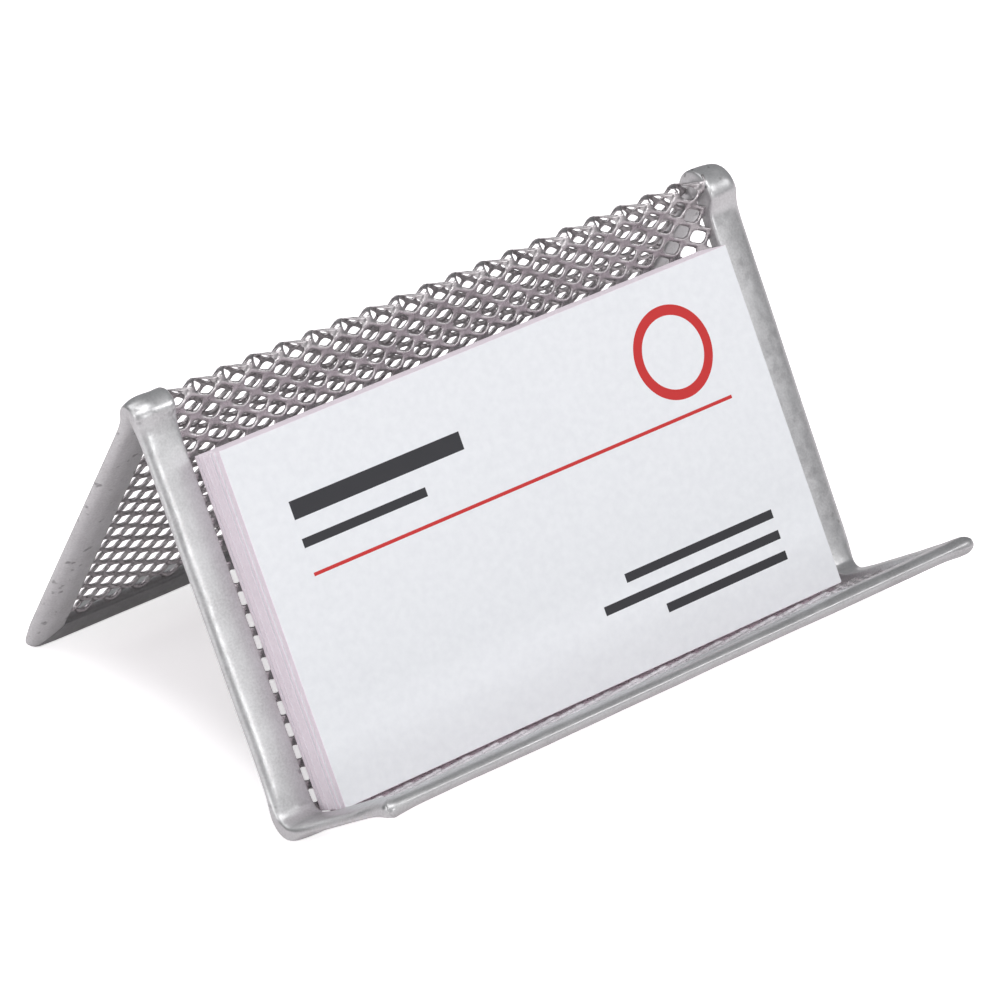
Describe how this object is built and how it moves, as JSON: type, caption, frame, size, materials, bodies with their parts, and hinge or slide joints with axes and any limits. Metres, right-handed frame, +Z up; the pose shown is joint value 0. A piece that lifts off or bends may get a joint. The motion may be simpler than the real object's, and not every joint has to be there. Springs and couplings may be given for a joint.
{
  "type": "business card holder stand",
  "caption": "Desk stand of bent expanded metal mesh with folded edge rails, an A-shaped back and a front tray, holding a leaning stack of blank business cards.",
  "frame": {"origin": "middle of the box that holds the whole part, on the desk", "axes": "+X to the right along the ridge, the cards face -Y, +Z up"},
  "size_m": [0.1054, 0.0864, 0.0548],
  "materials": {
    "painted_mesh": "satin silver-grey paint on expanded steel mesh",
    "painted_rail": "satin silver-grey paint on folded steel strip, slightly uneven",
    "card_stock": "smooth matte off-white card"
  },
  "bodies": {
    "stand": {"mesh_front_panel": "painted_mesh", "mesh_ridge_bend": "painted_mesh", "mesh_rear_panel": "painted_mesh", "mesh_front_bend": "painted_mesh", "mesh_tray": "painted_mesh", "left_side_rail": "painted_rail", "right_side_rail": "painted_rail", "front_lip_rail": "painted_rail", "rear_foot_rail": "painted_rail"},
    "rear_card_stack": {"rear_card_stack": "card_stock"},
    "middle_card_stack": {"middle_card_stack": "card_stock"},
    "front_card": {"front_card": "card_stock"}
  },
  "joints": [
    {"name": "rear_card_stack_lift", "type": "slide", "parent": "stand", "child": "rear_card_stack", "axis": [0, 0.5026, 0.8645], "range_m": [0, 0.064]},
    {"name": "middle_card_stack_lift", "type": "slide", "parent": "stand", "child": "middle_card_stack", "axis": [0, 0.5026, 0.8645], "range_m": [0, 0.064]},
    {"name": "front_card_lift", "type": "slide", "parent": "stand", "child": "front_card", "axis": [0, 0.5026, 0.8645], "range_m": [0, 0.064]}
  ]
}
